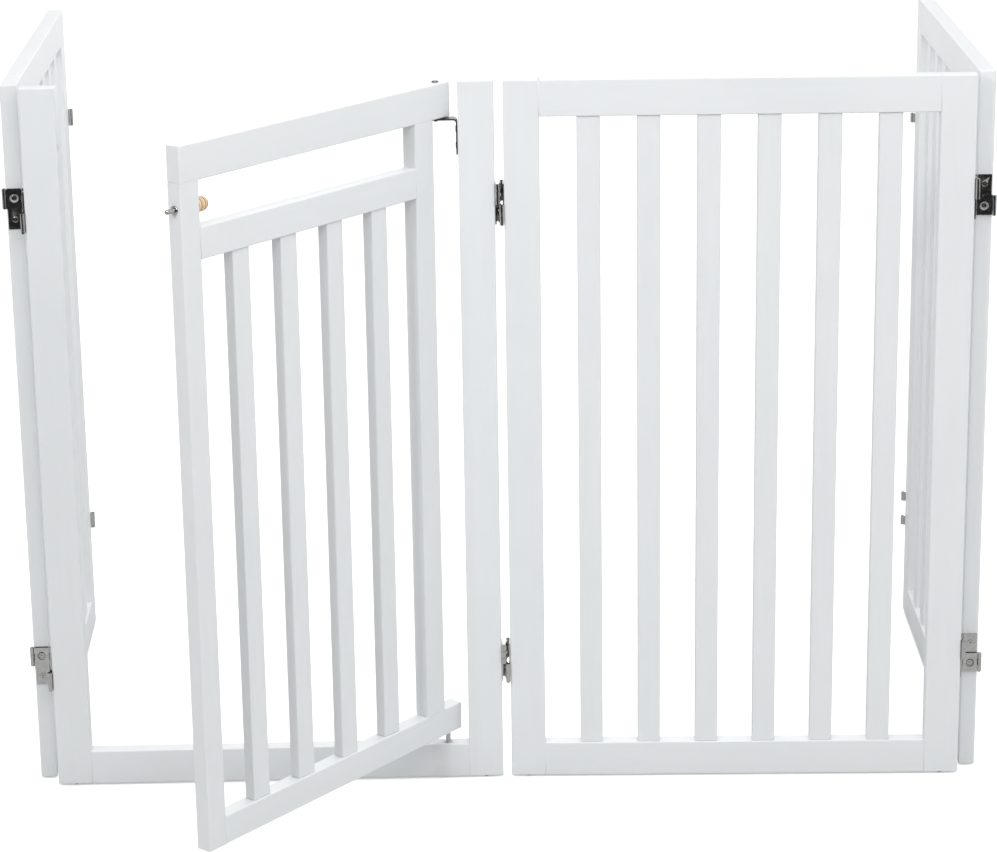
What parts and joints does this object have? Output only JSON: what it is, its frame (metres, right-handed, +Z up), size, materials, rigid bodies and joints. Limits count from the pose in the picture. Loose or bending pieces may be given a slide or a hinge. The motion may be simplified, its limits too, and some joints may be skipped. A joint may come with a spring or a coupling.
{
  "type": "pet gate",
  "caption": "Free-standing folding wooden pet gate with slatted panels on double-action hinges and a swing door with a spring bolt latch.",
  "frame": {"origin": "on the floor, under the centre of the gate's bounding box as it stands half folded", "axes": "+Z up; +X along the door panel from its door side to the plain panel; the front, to which the door opens, faces -Y"},
  "size_m": [1.0872, 0.8416, 0.8025],
  "materials": {
    "white_paint": "smooth satin white paint over wood",
    "nickel_plate": "bright nickel plate",
    "dark_steel": "dark satin finish",
    "bright_steel": "bright, polished",
    "spring_steel": "plain drawn wire",
    "natural_wood": "turned light wood, clear finish",
    "black_plastic": "matte black"
  },
  "bodies": {
    "frame": {"centre_lower_hinge_left_leaf": "nickel_plate", "centre_upper_hinge_left_leaf": "nickel_plate", "door_bottom_pin": "dark_steel", "door_panel_left_foot": "black_plastic", "door_panel_left_stile": "white_paint", "door_panel_right_foot": "black_plastic", "door_panel_right_stile": "white_paint", "door_panel_sill_rail": "white_paint", "door_pivot_bracket": "dark_steel", "left_lower_hinge_panel_half": "nickel_plate", "left_upper_hinge_panel_half": "nickel_plate"},
    "left_wing": {"left_lower_hinge_wing_half": "nickel_plate", "left_upper_hinge_wing_half": "nickel_plate", "left_wing_left_foot": "black_plastic", "left_wing_left_stile": "white_paint", "left_wing_lower_end_leaf": "nickel_plate", "left_wing_rails_and_slats": "white_paint", "left_wing_right_stile": "white_paint", "left_wing_upper_end_leaf": "nickel_plate"},
    "centre_front_link": {"centre_lower_hinge_front_link": "nickel_plate", "centre_upper_hinge_front_link": "nickel_plate"},
    "centre_back_link": {"centre_lower_hinge_back_link": "nickel_plate", "centre_upper_hinge_back_link": "nickel_plate"},
    "plain_panel": {"centre_lower_hinge_right_leaf": "nickel_plate", "centre_upper_hinge_right_leaf": "nickel_plate", "plain_panel_bottom_rail": "white_paint", "plain_panel_left_stile": "white_paint", "plain_panel_right_foot": "black_plastic", "plain_panel_right_stile": "white_paint", "plain_panel_slat_1": "white_paint", "plain_panel_slat_2": "white_paint", "plain_panel_slat_3": "white_paint", "plain_panel_slat_4": "white_paint", "plain_panel_slat_5": "white_paint", "plain_panel_slat_6": "white_paint", "plain_panel_top_rail": "white_paint", "right_lower_hinge_panel_half": "nickel_plate", "right_upper_hinge_panel_half": "nickel_plate"},
    "right_wing": {"right_lower_hinge_wing_half": "nickel_plate", "right_upper_hinge_wing_half": "nickel_plate", "right_wing_left_stile": "white_paint", "right_wing_lower_end_leaf": "nickel_plate", "right_wing_rails_and_slats": "white_paint", "right_wing_right_foot": "black_plastic", "right_wing_right_stile": "white_paint", "right_wing_upper_end_leaf": "nickel_plate"},
    "door": {"door_bottom_rail": "white_paint", "door_hinge_stile": "white_paint", "door_latch_stile": "white_paint", "door_second_rail": "white_paint", "door_slat_1": "white_paint", "door_slat_2": "white_paint", "door_slat_3": "white_paint", "door_slat_4": "white_paint", "door_top_pin": "dark_steel", "door_top_rail": "white_paint", "latch_ferrule": "bright_steel", "latch_spring": "spring_steel"},
    "latch": {"latch_bolt": "bright_steel", "latch_knob": "natural_wood"}
  },
  "joints": [
    {"name": "left_wing_fold", "type": "hinge", "parent": "frame", "child": "left_wing", "pos_m": [-0.51252, -0.09194, 0.4], "axis": [0, 0, -1], "range_deg": [-88.7, 89.3]},
    {"name": "right_wing_fold", "type": "hinge", "parent": "plain_panel", "child": "right_wing", "pos_m": [0.51296, -0.1076, 0.4], "axis": [0, 0, 1], "range_deg": [-90.5, 87.5]},
    {"name": "centre_fold_forward", "type": "hinge", "parent": "frame", "child": "centre_front_link", "pos_m": [-0.00212, -0.11314, 0.4], "axis": [0, 0, -1], "range_deg": [0, 110]},
    {"name": "centre_fold_back", "type": "hinge", "parent": "centre_front_link", "child": "plain_panel", "pos_m": [0.0028, -0.09201, 0.4], "axis": [0, 0, -1], "range_deg": [-85, 0]},
    {"name": "centre_back_link_turn", "type": "hinge", "parent": "frame", "child": "centre_back_link", "pos_m": [-0.00212, -0.09194, 0.4], "axis": [0, 0, -1], "range_deg": [-74.8, 0]},
    {"name": "door_swing", "type": "hinge", "parent": "frame", "child": "door", "pos_m": [-0.06682, -0.10254, 0.4], "axis": [0, 0, -1], "range_deg": [-64.5, 50.5]},
    {"name": "latch_bolt_slide", "type": "slide", "parent": "door", "child": "latch", "axis": [0.6361, 0.7716, 0], "range_m": [0, 0.012], "stiffness_N_per_m": 200, "springref_m": -0.003, "deforming": ["latch_spring"]}
  ],
  "couplings": [
    {"joint": "centre_back_link_turn", "follows": "centre_fold_back", "ratio": 0.88}
  ]
}
